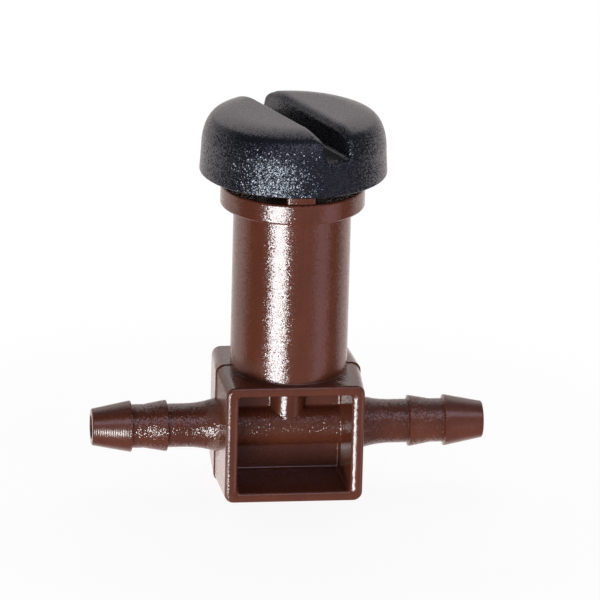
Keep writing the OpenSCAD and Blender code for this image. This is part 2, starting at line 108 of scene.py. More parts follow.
@dataclass
class Graph:
    """A node tree with short ways to add, join and compute.

    Args:
        tree: the tree that the nodes go into.
    """

    tree: bpy.types.NodeTree

    def add(self, kind: str, **settings: Any) -> bpy.types.Node:
        """Adds a node and sets its attributes.

        Args:
            kind: Blender's name of the node's type.
            settings: attributes and their values.

        Returns:
            The new node.
        """
        node = self.tree.nodes.new(kind)
        for name, value in settings.items():
            setattr(node, name, value)
        return node

    def feed(self, node: bpy.types.Node, socket: str | int, source: Source) -> None:
        """Links a socket to an input, or sets the input to a value.

        Args:
            node: the node that is fed.
            socket: name or number of its input.
            source: an output socket, or a plain value.
        """
        if isinstance(source, bpy.types.NodeSocket):
            self.tree.links.new(source, node.inputs[socket])
        else:
            node.inputs[socket].default_value = source

    def math(self, operation: str, *values: Source) -> bpy.types.NodeSocket:
        """Adds a Math node.

        Args:
            operation: the node's operation.
            values: sockets or numbers for its inputs.

        Returns:
            The node's output.
        """
        node = self.add("ShaderNodeMath", operation=operation)
        for index, value in enumerate(values):
            self.feed(node, index, value)
        return node.outputs[0]

    def radius(self, first: Source, second: Source) -> bpy.types.NodeSocket:
        """Adds the distance from an axis.

        Args:
            first: distance from the axis one way.
            second: distance from the axis the other way.

        Returns:
            The distance.
        """
        square = self.math("MULTIPLY_ADD", first, first, self.math("MULTIPLY", second, second))
        return self.math("SQRT", square)

    def vector(self, operation: str, *values: Source) -> bpy.types.NodeSocket:
        """Adds a Vector Math node.

        Args:
            operation: the node's operation.
            values: sockets or vectors for its inputs.

        Returns:
            The node's vector.
        """
        node = self.add("ShaderNodeVectorMath", operation=operation)
        for index, value in enumerate(values):
            self.feed(node, index, value)
        return node.outputs[0]

    def scaled(self, vector: Source, factor: float) -> bpy.types.NodeSocket:
        """Adds a vector times a number."""
        return self.vector("MULTIPLY", vector, (factor, factor, factor))

    def blend(self, value: Source, low: float, high: float) -> bpy.types.NodeSocket:
        """Adds a smooth step from 0 at low to 1 at high.

        Args:
            value: the socket that is stepped.
            low: value that gives 0.
            high: value that gives 1.

        Returns:
            The step's output.
        """
        node = self.add("ShaderNodeMapRange", interpolation_type="SMOOTHSTEP")
        self.feed(node, "Value", value)
        self.feed(node, "From Min", low)
        self.feed(node, "From Max", high)
        return node.outputs[0]

    def mix(
        self, factor: Source, first: Source, second: Source, kind: Mix = Mix.NUMBER
    ) -> bpy.types.NodeSocket:
        """Adds a mix of two numbers, vectors or colours.

        Args:
            factor: share of the second one.
            first: first value or socket.
            second: second value or socket.
            kind: what is mixed.

        Returns:
            The mixed value.
        """
        data_type, first_input, second_input, output = kind.value
        node = self.add("ShaderNodeMix", data_type=data_type)
        self.feed(node, 0, factor)
        self.feed(node, first_input, first)
        self.feed(node, second_input, second)
        return node.outputs[output]

    def noise(self, vector: Source, scale: Source, detail: float, roughness: float) -> bpy.types.NodeSocket:
        """Adds a noise texture.

        Args:
            vector: where it is read.
            scale: waves in a metre.
            detail: octaves.
            roughness: weight of the finer octaves.

        Returns:
            The noise's value.
        """
        node = self.add("ShaderNodeTexNoise")
        self.feed(node, "Vector", vector)
        self.feed(node, "Scale", scale)
        self.feed(node, "Detail", detail)
        self.feed(node, "Roughness", roughness)
        return node.outputs["Fac"]

    def group(self, tree: bpy.types.NodeTree, vector: Source, scale: float) -> bpy.types.Node:
        """Places a shared group.

        Args:
            tree: the group.
            vector: where it is read.
            scale: its scale.

        Returns:
            The group's node.
        """
        node = self.add("ShaderNodeGroup", node_tree=tree)
        self.feed(node, "Vector", vector)
        self.feed(node, "Scale", scale)
        return node

    def surface(self, factor: Source, first: Source, second: Source) -> None:
        """Mixes two shaders into a material's surface.

        Args:
            factor: share of the second shader.
            first: output of the first shader.
            second: output of the second shader.
        """
        node = self.add("ShaderNodeMixShader")
        for index, source in enumerate((factor, first, second)):
            self.feed(node, index, source)
        self.feed(self.tree.nodes["Material Output"], "Surface", node.outputs[0])


def start_material(name: str) -> tuple[bpy.types.Material, Graph, bpy.types.Node]:
    """Starts a material.

    Args:
        name: its name.

    Returns:
        The material, its graph and its Principled BSDF.
    """
    material = bpy.data.materials.new(name)
    material.use_nodes = True
    return material, Graph(material.node_tree), material.node_tree.nodes["Principled BSDF"]


class SharedGroups:
    """Node groups that several finishes place with their own values."""

    def __init__(self) -> None:
        """Builds the groups once."""
        self.grain = self._spark_grain()
        self.flow = self._mould_flow()

    @staticmethod
    def _new(name: str, outputs: list[tuple[str, str]]) -> tuple[Graph, Any, Any]:
        """Starts a group that is given a place and a scale.

        Args:
            name: name of the group.
            outputs: name and kind of each output.

        Returns:
            The group's graph, its input node and its output node.
        """
        tree = bpy.data.node_groups.new(name, "ShaderNodeTree")
        for socket, kind in (("Vector", "Vector"), ("Scale", "Float")):
            tree.interface.new_socket(socket, in_out="INPUT", socket_type=f"NodeSocket{kind}")
        for socket, kind in outputs:
            tree.interface.new_socket(socket, in_out="OUTPUT", socket_type=f"NodeSocket{kind}")
        graph = Graph(tree)
        return graph, graph.add("NodeGroupInput"), graph.add("NodeGroupOutput")

    def _spark_grain(self) -> bpy.types.NodeTree:
        """Builds the pits that a spark-eroded mould leaves.

        Returns:
            A group that gives each pit's lean, the height of its bowl, and a random number for it.
        """
        outputs = [("Lean", "Vector"), ("Height", "Float"), ("Pit", "Float")]
        graph, given, result = self._new("spark_grain", outputs)
        pits = graph.add("ShaderNodeTexVoronoi")
        graph.feed(pits, "Vector", given.outputs["Vector"])
        graph.feed(pits, "Scale", given.outputs["Scale"])
        # A square that keeps its sign leaves most pits nearly upright, and times 4 it runs from -1 to 1
        aside = graph.vector("SUBTRACT", pits.outputs["Color"], (0.5, 0.5, 0.5))
        square = graph.vector("MULTIPLY", aside, graph.vector("ABSOLUTE", aside))
        graph.feed(result, "Lean", graph.scaled(square, 4.0))
        graph.feed(result, "Height", graph.math("POWER", pits.outputs["Distance"], 2.0))
        graph.feed(result, "Pit", pits.outputs["Color"])
        return graph.tree

    def _mould_flow(self) -> bpy.types.NodeTree:
        """Builds the change of tone that flowing plastic leaves.

        Returns:
            A group that gives a slow tone and upright streaks, both from 0 to 1.
        """
        streak_stretch = (1.0, 1.0, 0.07)
        streak_fineness = 7.0
        graph, given, result = self._new("mould_flow", [("Tone", "Float"), ("Streak", "Float")])
        vector = given.outputs["Vector"]
        scale = given.outputs["Scale"]
        slow = graph.noise(vector, scale, detail=3.0, roughness=0.55)
        graph.feed(result, "Tone", graph.blend(slow, low=0.3, high=0.7))
        drawn = graph.vector("MULTIPLY", vector, streak_stretch)
        fine = graph.math("MULTIPLY", scale, streak_fineness)
        lines = graph.noise(drawn, fine, detail=2.0, roughness=0.6)
        graph.feed(result, "Streak", graph.blend(lines, low=0.35, high=0.65))
        return graph.tree


@dataclass(frozen=True)
class Grain:
    """Size and steepness of a mould's grain.

    Args:
        pits: pits in a metre.
        lean: steepest slope of a pit's floor.
        bowl: slope at the rim of a pit.
    """

    pits: float
    lean: float
    bowl: float

    def place(self, graph: Graph, groups: SharedGroups, where: Source) -> tuple[Source, Source, Source]:
        """Adds the grain to a material.

        Args:
            graph: the material's graph.
            groups: the shared node groups.
            where: Object coordinates.

        Returns:
            The lean of the pits, their height in metres, and a random number for each pit.
        """
        grain = graph.group(groups.grain, where, self.pits)
        lean = graph.scaled(grain.outputs["Lean"], self.lean)
        depth = self.bowl / (2 * PIT_RIM * self.pits)
        return lean, graph.math("MULTIPLY", grain.outputs["Height"], depth), grain.outputs["Pit"]


@dataclass(frozen=True)
class BarbZone:
    """The barbs and the cross tube between them, which have a grain of their own.

    Args:
        grain: their grain.
        axis_z: height of the barbs' axis.
        full: distance from the axis up to which it is all this grain, inside the box.
        end: distance from the axis where this grain ends, inside the box.
        wider: how much further it reaches on the barbs, round their flares.
        wall: distances along the barbs, inside the box's wall, between which the reach widens.
        web: distances from the web's middle between which its grain gives way to the tube's.
    """

    grain: Grain
    axis_z: float = 5.98 * MM
    full: float = 2.15 * MM
    end: float = 2.5 * MM
    wider: float = 1.0 * MM
    wall: tuple[float, float] = (5.6 * MM, 6.4 * MM)
    web: tuple[float, float] = (0.7 * MM, 1.0 * MM)

    def mask(self, graph: Graph, across: Source, depth: Source, height: Source) -> Source:
        """Adds the mask of the zone.

        Args:
            graph: the material's graph.
            across: distance along the barbs.
            depth: distance behind the tower's axis.
            height: height above the floor.

        Returns:
            1 inside the zone and 0 outside it.
        """
        rise = graph.math("SUBTRACT", height, self.axis_z)
        off_web = graph.blend(graph.math("ABSOLUTE", depth), *self.web)
        outside = graph.blend(graph.math("ABSOLUTE", across), *self.wall)
        reach = graph.math("MULTIPLY_ADD", outside, -self.wider, graph.radius(rise, depth))
        near = graph.blend(reach, self.end, self.full)
        return graph.math("MULTIPLY", near, graph.math("MAXIMUM", off_web, outside))


@dataclass(frozen=True)
class CrownZone:
    """The knob's crown and its inner faces, such as the slot's, which have a grain of their own.

    Args:
        grain: their grain.
        foot: height of the crown's foot.
        fade: how far over and under the foot the grain changes.
        slot_end: distance from the axis where this grain ends under the crown.
        slot_full: distance from the axis up to which there is this grain alone.
    """

    grain: Grain
    foot: float = 37.3 * MM
    fade: float = 0.3 * MM
    slot_end: float = 8.0 * MM
    slot_full: float = 7.6 * MM

    def mask(self, graph: Graph, across: Source, depth: Source, height: Source) -> Source:
        """Adds the mask of the zone.

        Args:
            graph: the material's graph.
            across: distance along the barbs.
            depth: distance behind the tower's axis.
            height: height above the floor.

        Returns:
            1 inside the zone and 0 outside it.
        """
        over = graph.blend(height, self.foot - self.fade, self.foot + self.fade)
        in_slot = graph.blend(graph.radius(across, depth), self.slot_end, self.slot_full)
        return graph.math("MAXIMUM", over, in_slot)


@dataclass(frozen=True)
class Polish:
    """The polished tips of the barbs, with faint turning marks.

    Args:
        start: distance along the barbs where the grain ends.
        fade: length over which it ends.
        spacing: distance between two marks.
        depth: half the depth of a mark.
        lean: share of the grain's lean that is left.
        grain: share of the grain's height that is left.
        roughness: roughness of the tips.
    """

    start: float = 15.6 * MM
    fade: float = 0.2 * MM
    spacing: float = 0.22 * MM
    depth: float = 0.003 * MM
    lean: float = 0.2
    grain: float = 0.3
    roughness: float = 0.25

    def place(
        self, graph: Graph, across: Source, lean: Source, height: Source, rough: Source
    ) -> tuple[Source, Source, Source]:
        """Adds the polish to a material.

        Args:
            graph: the material's graph.
            across: distance along the barbs.
            lean: lean of the grain's pits.
            height: height of the grain.
            rough: roughness of the grain.

        Returns:
            The lean, the height and the roughness with the tips polished.
        """
        along = graph.math("ABSOLUTE", across)
        tip = graph.blend(along, self.start, self.start + self.fade)
        wave = graph.math("SINE", graph.math("MULTIPLY", along, math.tau / self.spacing))
        marks = graph.math("MULTIPLY", wave, self.depth)
        ringed = graph.math("MULTIPLY_ADD", height, self.grain, marks)
        return (
            graph.mix(tip, lean, graph.scaled(lean, self.lean), Mix.VECTOR),
            graph.mix(tip, height, ringed),
            graph.mix(tip, rough, self.roughness),
        )


@dataclass(frozen=True)
class Plastic:
    """Moulded plastic with a spark-eroded grain.

    Args:
        name: name of the material.
        colour: its main colour.
        shade: colour of its darker flow lines.
        roughness: roughness of the smoothest pits.
        rough_pits: roughness of the roughest pits.
        rough_edge: roughness where the surface is seen at a slant.
        grain: its grain.
        zone: where it has another grain, if anywhere.
        polish: its polish, if any.
        gloss_tint: colour of its gloss, seen straight on.
        flow: waves of tone in a metre.
        streaks: share of the streaks in the tone.
        slant: slants between which the roughness changes, where 1 is along the surface.
    """

    name: str
    colour: Colour
    shade: Colour
    roughness: float
    rough_pits: float
    rough_edge: float
    grain: Grain
    zone: BarbZone | CrownZone | None = None
    polish: Polish | None = None
    gloss_tint: Colour = (1, 1, 1, 1)
    flow: float = 300.0
    streaks: float = 0.35
    slant: tuple[float, float] = (0.55, 0.95)

    def build(self, groups: SharedGroups) -> bpy.types.Material:
        """Builds the material.

        Args:
            groups: the shared node groups.

        Returns:
            The material.
        """
        material, graph, shader = start_material(self.name)
        where = graph.add("ShaderNodeTexCoord").outputs["Object"]
        flow = graph.group(groups.flow, where, self.flow)
        tone = graph.mix(self.streaks, flow.outputs["Tone"], flow.outputs["Streak"])
        graph.feed(shader, "Base Color", graph.mix(tone, self.colour, self.shade, Mix.COLOUR))
        graph.feed(shader, "Specular Tint", self.gloss_tint)
        lean, height, rough = self._texture(graph, groups, where)
        slant = graph.blend(graph.add("ShaderNodeLayerWeight").outputs["Facing"], *self.slant)
        graph.feed(shader, "Roughness", graph.mix(slant, rough, self.rough_edge))
        upright = graph.add("ShaderNodeNewGeometry").outputs["Normal"]
        bump = graph.add("ShaderNodeBump")
        graph.feed(bump, "Strength", 1.0)
        graph.feed(bump, "Distance", 1.0)
        graph.feed(bump, "Height", height)
        graph.feed(bump, "Normal", graph.vector("NORMALIZE", graph.vector("ADD", upright, lean)))
        graph.feed(shader, "Normal", bump.outputs["Normal"])
        return material

    def _texture(self, graph: Graph, groups: SharedGroups, where: Source) -> tuple[Source, Source, Source]:
        """Adds the grain, the zone's own grain and the polish.

        Args:
            graph: the material's graph.
            groups: the shared node groups.
            where: Object coordinates.

        Returns:
            The lean, the height and the roughness of the surface.
        """
        split = graph.add("ShaderNodeSeparateXYZ")
        graph.feed(split, 0, where)
        lean, height, pit = self.grain.place(graph, groups, where)
        if self.zone:
            inside = self.zone.mask(graph, *split.outputs)
            other_lean, other_height, other_pit = self.zone.grain.place(graph, groups, where)
            lean = graph.mix(inside, lean, other_lean, Mix.VECTOR)
            height = graph.mix(inside, height, other_height)
            pit = graph.mix(inside, pit, other_pit)
        rough = graph.mix(pit, self.roughness, self.rough_pits)
        if self.polish:
            return self.polish.place(graph, split.outputs["X"], lean, height, rough)
        return lean, height, rough


@dataclass(frozen=True)
class Rubber:
    """Smooth black rubber of the seals.

    Args:
        name: name of the material.
        colour: its colour.
        bloom: colour of its pale bloom.
        roughness: its least roughness.
        rough_bloom: roughness of the bloom.
        flow: waves of bloom in a metre.
    """

    name: str = "black_seal_rubber"
    colour: Colour = (0.012, 0.012, 0.013, 1)
    bloom: Colour = (0.022, 0.021, 0.02, 1)
    roughness: float = 0.45
    rough_bloom: float = 0.6
    flow: float = 900.0

    def build(self, groups: SharedGroups) -> bpy.types.Material:
        """Builds the material.

        Args:
            groups: the shared node groups.

        Returns:
            The material.
        """
        material, graph, shader = start_material(self.name)
        where = graph.add("ShaderNodeTexCoord").outputs["Object"]
        tone = graph.group(groups.flow, where, self.flow).outputs["Tone"]
        graph.feed(shader, "Base Color", graph.mix(tone, self.colour, self.bloom, Mix.COLOUR))
        graph.feed(shader, "Roughness", graph.mix(tone, self.roughness, self.rough_bloom))
        return material


@dataclass
class Finishes:
    """The finishes of the valve, built once.

    Args:
        groups: the node groups that they share.
        built: the material of each slot.
    """

    groups: SharedGroups = field(default_factory=SharedGroups)
    built: dict[Slot, bpy.types.Material] = field(default_factory=dict)

    def __post_init__(self) -> None:
        """Builds one material for each slot of the record."""
        finishes = {
            Slot.BROWN: Plastic(
                name="brown_grained_plastic",
                colour=(0.15, 0.0405, 0.0205, 1),
                shade=(0.122, 0.033, 0.0175, 1),
                roughness=0.1,
                rough_pits=0.24,
                rough_edge=0.16,
                grain=Grain(pits=10000.0, lean=0.09, bowl=0.03),
                zone=BarbZone(Grain(pits=11500.0, lean=0.25, bowl=0.04)),
                polish=Polish(),
            ),
            Slot.KNOB: Plastic(
                name="charcoal_grained_plastic",
                colour=(0.0085, 0.0083, 0.0125, 1),
                shade=(0.007, 0.0069, 0.0105, 1),
                roughness=0.16,
                rough_pits=0.4,
                rough_edge=0.28,
                grain=Grain(pits=10000.0, lean=0.35, bowl=0.06),
                zone=CrownZone(Grain(pits=11000.0, lean=0.14, bowl=0.05)),
                gloss_tint=(0.82, 0.88, 1, 1),
            ),
            Slot.STEM: Plastic(
                name="smooth_grey_plastic",
                colour=(0.05, 0.05, 0.053, 1),
                shade=(0.042, 0.042, 0.045, 1),
                roughness=0.28,
                rough_pits=0.36,
                rough_edge=0.4,
                grain=Grain(pits=6000.0, lean=0.02, bowl=0.02),
            ),
            Slot.SEAL: Rubber(),
        }
        for slot, finish in finishes.items():
            self.built[slot] = finish.build(self.groups)

    def dress(self, piece: bpy.types.Object, slot: Slot) -> None:
        """Gives a piece its finish in place of any other.

        Args:
            piece: the piece that is dressed.
            slot: the finish.
        """
        piece.data.materials.clear()
        piece.data.materials.append(self.built[slot])
        LOG.info("%s: %d faces", piece.name, len(piece.data.polygons))

    def stand_for(self, piece: bpy.types.Object, node: str, body: Body, slot: Slot) -> None:
        """Lets a dressed piece stand for a CAD node.

        Args:
            piece: the piece.
            node: name of the CAD node.
            body: the body that it rides on.
            slot: its finish.
        """
        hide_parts(node)
        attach(piece, body.value)
        self.dress(piece, slot)


def only(piece: bpy.types.Object) -> None:
    """Makes a piece the only selected and the active one.

    Args:
        piece: the piece.
    """
    bpy.ops.object.select_all(action="DESELECT")
    piece.select_set(True)
    bpy.context.view_layer.objects.active = piece


@contextmanager
def editing() -> Iterator[None]:
    """Opens the active object in edit mode, with all of it selected, and closes it again.

    Yields:
        Nothing, while the mesh is open.
    """
    bpy.ops.object.mode_set(mode="EDIT")
    bpy.ops.mesh.select_all(action="SELECT")
    yield
    bpy.ops.object.mode_set(mode="OBJECT")


def face_outwards() -> None:
    """Turns all the faces of the mesh in edit mode outwards."""
    bpy.ops.mesh.select_all(action="SELECT")
    bpy.ops.mesh.normals_make_consistent(inside=False)


@dataclass
class Moulding:
    """A rigid CAD node, shown through a merged copy with true soft edges.

    Args:
        node: name of the CAD node.
        body: the body that it rides on.
        slot: its finish.
        crease: edges sharper than this many degrees stay crisp.
        weld: points closer than this are one.
    """

    node: str
    body: Body
    slot: Slot
    crease: float = 32.0
    weld: float = 0.0005 * MM

    def build(self, frame: dict[str, Any], finishes: Finishes) -> None:
        """Copies the node, merges its loose triangles and smooths its rounded edges.

        Args:
            frame: the loaded frame.
            finishes: the valve's finishes.
        """
        only(frame["nodes"][self.node])
        bpy.ops.object.duplicate()
        piece = bpy.context.view_layer.objects.active
        piece.name = f"{self.node}_moulding"
        piece.data.name = piece.name
        only(piece)
        bpy.ops.mesh.customdata_custom_splitnormals_clear()
        with editing():
            bpy.ops.mesh.remove_doubles(threshold=self.weld)
        bpy.ops.object.shade_smooth_by_angle(angle=math.radians(self.crease))
        weights = piece.modifiers.new("face_weights", "WEIGHTED_NORMAL")
        weights.keep_sharp = True
        bpy.ops.object.modifier_apply(modifier=weights.name)
        finishes.stand_for(piece, self.node, self.body, self.slot)


@dataclass
class ThreadedSpindle:
    """The screw spindle with its real thread, in place of the plain CAD spindle.

    Args:
        pitch: rise of one turn of the thread.
        profile: outward step of each stretch of the thread's profile, and its share of the pitch.
        crest_r: radius of the thread's crest.
        root_r: radius of the thread's root.
        pin_r: radius of the pin.
        chamfer: chamfer on the pin's end and on the hexagon's end.
        cone_foot: height where the pin widens.
        land_foot: height of the seal land's foot.
        land_top: height of the seal land's top.
        land_r: radius of the seal land.
        groove_r: radius of the seal grooves.
        groove_w: width of the seal grooves.
        thread_top: height where the thread ends.
        drive_r: radius of the hexagon at its corners.
        overlap: how far the thread starts inside the land.
        lead_turns: turns of winding that start under the thread's foot.
        spare_turns: turns of winding beyond the thread's length, which are cut off.
        sides: number of sides of a round length.
        drive_sides: number of sides of the hexagon.
        weld: points of the wound thread closer than this are one.
        same_point: distance under which the winding and the cuts take points for one.
        crease: edges sharper than this many degrees stay crisp.
    """

    pitch: float = 1.5 * MM
    profile: tuple[tuple[int, float], ...] = ((0, 0.3), (1, 0.2), (0, 0.3), (-1, 0.2))
    crest_r: float = 2.9 * MM
    root_r: float = 2.35 * MM
    pin_r: float = 0.95 * MM
    chamfer: float = 0.25 * MM
    cone_foot: float = 15.565 * MM
    land_foot: float = 16.565 * MM
    land_top: float = 22.165 * MM
    land_r: float = 3.55 * MM
    groove_r: float = 2.69 * MM
    groove_w: float = 0.91 * MM
    thread_top: float = 32.955 * MM
    drive_r: float = 2.3 * MM
    overlap: float = 0.1 * MM
    lead_turns: float = 1.5
    spare_turns: int = 2
    sides: int = 64
    drive_sides: int = 6
    weld: float = 1e-6
    same_point: float = 1e-7
    crease: float = 30.0

    def build(self, frame: dict[str, Any], finishes: Finishes) -> None:
        """Models the spindle and joins its three lengths into one solid.

        Args:
            frame: the loaded frame.
            finishes: the valve's finishes.
        """
        foot, top = (corner[2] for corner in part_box("spindle"))
        seals = [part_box(seal) for seal in ("lower_stem_seal", "upper_stem_seal")]
        piece = self._shaft(foot, [(low[2] + high[2]) / 2 for low, high in seals])
        for part in (self._thread(), self._drive(top)):
            self._join(piece, part)
        only(piece)
        bpy.ops.object.shade_smooth_by_angle(angle=math.radians(self.crease))
        finishes.stand_for(piece, "spindle", Body.ADJUSTER, Slot.STEM)

    @staticmethod
    def _turn(name: str, outline: list[tuple[float, float]], sides: int) -> bpy.types.Object:
        """Builds up a solid from its foot, ring by ring.

        Args:
            name: name of the solid.
            outline: radius and height of each ring, from the foot up.
            sides: number of its sides.

        Returns:
            The closed solid.
        """
        bpy.ops.object.select_all(action="DESELECT")
        bpy.ops.mesh.primitive_circle_add(vertices=sides, radius=outline[0][0], fill_type="NGON")
        solid = bpy.context.view_layer.objects.active
        solid.name = name
        with editing():
            bpy.ops.transform.translate(value=(0, 0, outline[0][1]))
            for (radius, height), (next_radius, next_height) in zip(outline, outline[1:]):
                rise = (0, 0, next_height - height)
                bpy.ops.mesh.extrude_region_move(TRANSFORM_OT_translate={"value": rise})
                scale = next_radius / radius
                bpy.ops.transform.resize(value=(scale, scale, 1), center_override=(0, 0, 0))
            face_outwards()
        return solid

    def _shaft(self, foot: float, grooves: list[float]) -> bpy.types.Object:
        """Turns the pin, its cone and the land with the seal grooves.

        Args:
            foot: height of the pin's end.
            grooves: heights of the two grooves.

        Returns:
            The shaft.
        """
        outline = [(self.pin_r - self.chamfer, foot), (self.pin_r, foot + self.chamfer)]
        outline += [(self.pin_r, self.cone_foot), (self.land_r, self.land_foot)]
        for middle in grooves:
            low = middle - self.groove_w / 2
            high = middle + self.groove_w / 2
            outline += [(self.land_r, low), (self.groove_r, low), (self.groove_r, high), (self.land_r, high)]
        outline += [(self.land_r, self.land_top)]
        return self._turn("spindle_screw", outline, self.sides)

    def _thread(self) -> bpy.types.Object:
        """Winds the thread's profile up the spindle, past both ends, and cuts the ends flat.

        Returns:
            The threaded length.
        """
        low = self.land_top - self.overlap
        bpy.ops.object.select_all(action="DESELECT")
        bpy.ops.mesh.primitive_plane_add(size=self.root_r)
        thread = bpy.context.view_layer.objects.active
        thread.name = "spindle_thread"
        with editing():
            bpy.ops.mesh.merge(type="CENTER")
            bpy.ops.transform.translate(value=(self.root_r, 0, low - self.lead_turns * self.pitch))
            for outward, share in self.profile:
                move = (outward * (self.crest_r - self.root_r), 0, share * self.pitch)
                bpy.ops.mesh.extrude_region_move(TRANSFORM_OT_translate={"value": move})
        winding = thread.modifiers.new("winding", "SCREW")
        winding.axis = "Z"
        winding.screw_offset = self.pitch
        winding.iterations = math.ceil((self.thread_top - low) / self.pitch) + self.spare_turns
        winding.steps = self.sides
        winding.render_steps = self.sides
        winding.use_merge_vertices = True
        winding.merge_threshold = self.same_point
        bpy.ops.object.modifier_apply(modifier=winding.name)
        with editing():
            bpy.ops.mesh.remove_doubles(threshold=self.weld)
            for height, way in ((low, -1), (self.thread_top, 1)):
                bpy.ops.mesh.select_all(action="SELECT")
                bpy.ops.mesh.bisect(
                    plane_co=(0, 0, height),
                    plane_no=(0, 0, way),
                    use_fill=True,
                    clear_outer=True,
                    threshold=self.same_point,
                )
            face_outwards()
        return thread

    def _drive(self, top: float) -> bpy.types.Object:
        """Builds the hexagon that the knob's socket takes.

        Args:
            top: height of the hexagon's end.

        Returns:
            The hexagon.
        """
        outline = [
            (self.drive_r, self.thread_top - self.pitch),
            (self.drive_r, top - self.chamfer),
            (self.drive_r - self.chamfer, top),
        ]
        return self._turn("spindle_drive", outline, self.drive_sides)

    @staticmethod
    def _join(piece: bpy.types.Object, part: bpy.types.Object) -> None:
        """Unites a part with the spindle.

        Args:
            piece: the spindle.
            part: the part, which goes into it.
        """
        only(piece)
        union = piece.modifiers.new("union", "BOOLEAN")
        union.operation = "UNION"
        union.solver = "EXACT"
        union.object = part
        bpy.ops.object.modifier_apply(modifier=union.name)
        only(part)
        bpy.ops.object.delete()


@dataclass
class HiddenSeal:
    """A seal inside the valve, shown as its CAD node with its finish.

    Args:
        node: name of the CAD node.
    """

    node: str

    def build(self, frame: dict[str, Any], finishes: Finishes) -> None:
        """Dresses the node.

        Args:
            frame: the loaded frame.
            finishes: the valve's finishes.
        """
        finishes.dress(frame["nodes"][self.node], Slot.SEAL)


def bearing(azimuth: float, elevation: float) -> Vector:
    """Gives the direction of a place round the valve.

    Args:
        azimuth: degrees from the front towards +X.
        elevation: degrees above the floor.

    Returns:
        A unit vector from the valve to that place.
    """
    turn = math.radians(azimuth)
    rise = math.radians(elevation)
    return Vector((
        math.sin(turn) * math.cos(rise),
        -math.cos(turn) * math.cos(rise),
        math.sin(rise),
    ))


@dataclass(frozen=True)
class SoftBox:
    """A rectangular lamp that faces the valve.

    Args:
        name: name of the lamp.
        azimuth: degrees from the front towards +X.
        elevation: degrees above the floor.
        width: width in degrees, as seen from the valve.
        height: height in degrees, as seen from the valve.
        radiance: brightness of its face, where 1 is white.
        colour: colour of its light.
        on_matt: whether it lights the matt part of a finish.
        in_gloss: whether it shows in the gloss.
        distance: metres from the valve.
    """

    name: str
    azimuth: float
    elevation: float
    width: float
    height: float
    radiance: float
    colour: tuple[float, float, float] = (1, 1, 1)
    on_matt: bool = True
    in_gloss: bool = True
    distance: float = 0.5

    def build(self, target: Vector) -> None:
        """Places the lamp.

        Args:
            target: the point that it faces.
        """
        light = bpy.data.lights.new(self.name, "AREA")
        light.shape = "RECTANGLE"
        light.size = 2 * self.distance * math.tan(math.radians(self.width / 2))
        light.size_y = 2 * self.distance * math.tan(math.radians(self.height / 2))
        light.energy = self.radiance * math.pi * light.size * light.size_y
        light.color = self.colour
        lamp = bpy.data.objects.new(self.name, light)
        bpy.context.scene.collection.objects.link(lamp)
        away = bearing(self.azimuth, self.elevation)
        lamp.location = target + self.distance * away
        lamp.rotation_euler = away.to_track_quat("Z", "Y").to_euler()
        lamp.visible_camera = False
        lamp.visible_diffuse = self.on_matt
        lamp.visible_glossy = self.in_gloss


@dataclass(frozen=True)
class Flag:
    """A card beside the valve that keeps the key light out of some of its gloss, mostly seen from behind.

    Args:
        name: name of the card.
        middle: place of its middle.
        width: its width.
        height: its height.
        faces_right: whether its plain side faces +X, and not +Y.
        glow: how bright its plain side is, 0 for black.
        colour: colour of that glow.
    """

    name: str
    middle: tuple[float, float, float]
    width: float
    height: float
    faces_right: bool = False
    glow: float = 0.0
    colour: Colour = (1.0, 0.9, 0.87, 1)

    def build(self) -> None:
        """Sets the card up where only reflections see it."""
        bpy.ops.object.select_all(action="DESELECT")
        bpy.ops.mesh.primitive_plane_add(size=1)
        card = bpy.context.view_layer.objects.active
        card.name = self.name
        with editing():
            bpy.ops.transform.resize(value=(self.width, self.height, 1))
            bpy.ops.transform.rotate(value=math.pi / 2, orient_axis="X", center_override=(0, 0, 0))
            if self.faces_right:
                bpy.ops.transform.rotate(value=math.pi / 2, orient_axis="Z", center_override=(0, 0, 0))
            bpy.ops.transform.translate(value=self.middle)
        card.visible_camera = False
        card.visible_diffuse = False
        card.visible_shadow = False
        card.data.materials.append(self._finish())

    def _finish(self) -> bpy.types.Material:
        """Makes the card plain on the side that it faces and clear on the other.

        Returns:
            The card's material.
        """
        material, graph, shader = start_material(self.name)
        material.cycles.emission_sampling = "NONE"
        graph.feed(shader, "Base Color", (0, 0, 0, 1))
        graph.feed(shader, "Specular IOR Level", 0.0)
        graph.feed(shader, "Emission Color", self.colour)
        graph.feed(shader, "Emission Strength", self.glow)
        behind = graph.add("ShaderNodeNewGeometry").outputs["Backfacing"]
        graph.surface(behind, shader.outputs[0], graph.add("ShaderNodeBsdfTransparent").outputs[0])
        return material


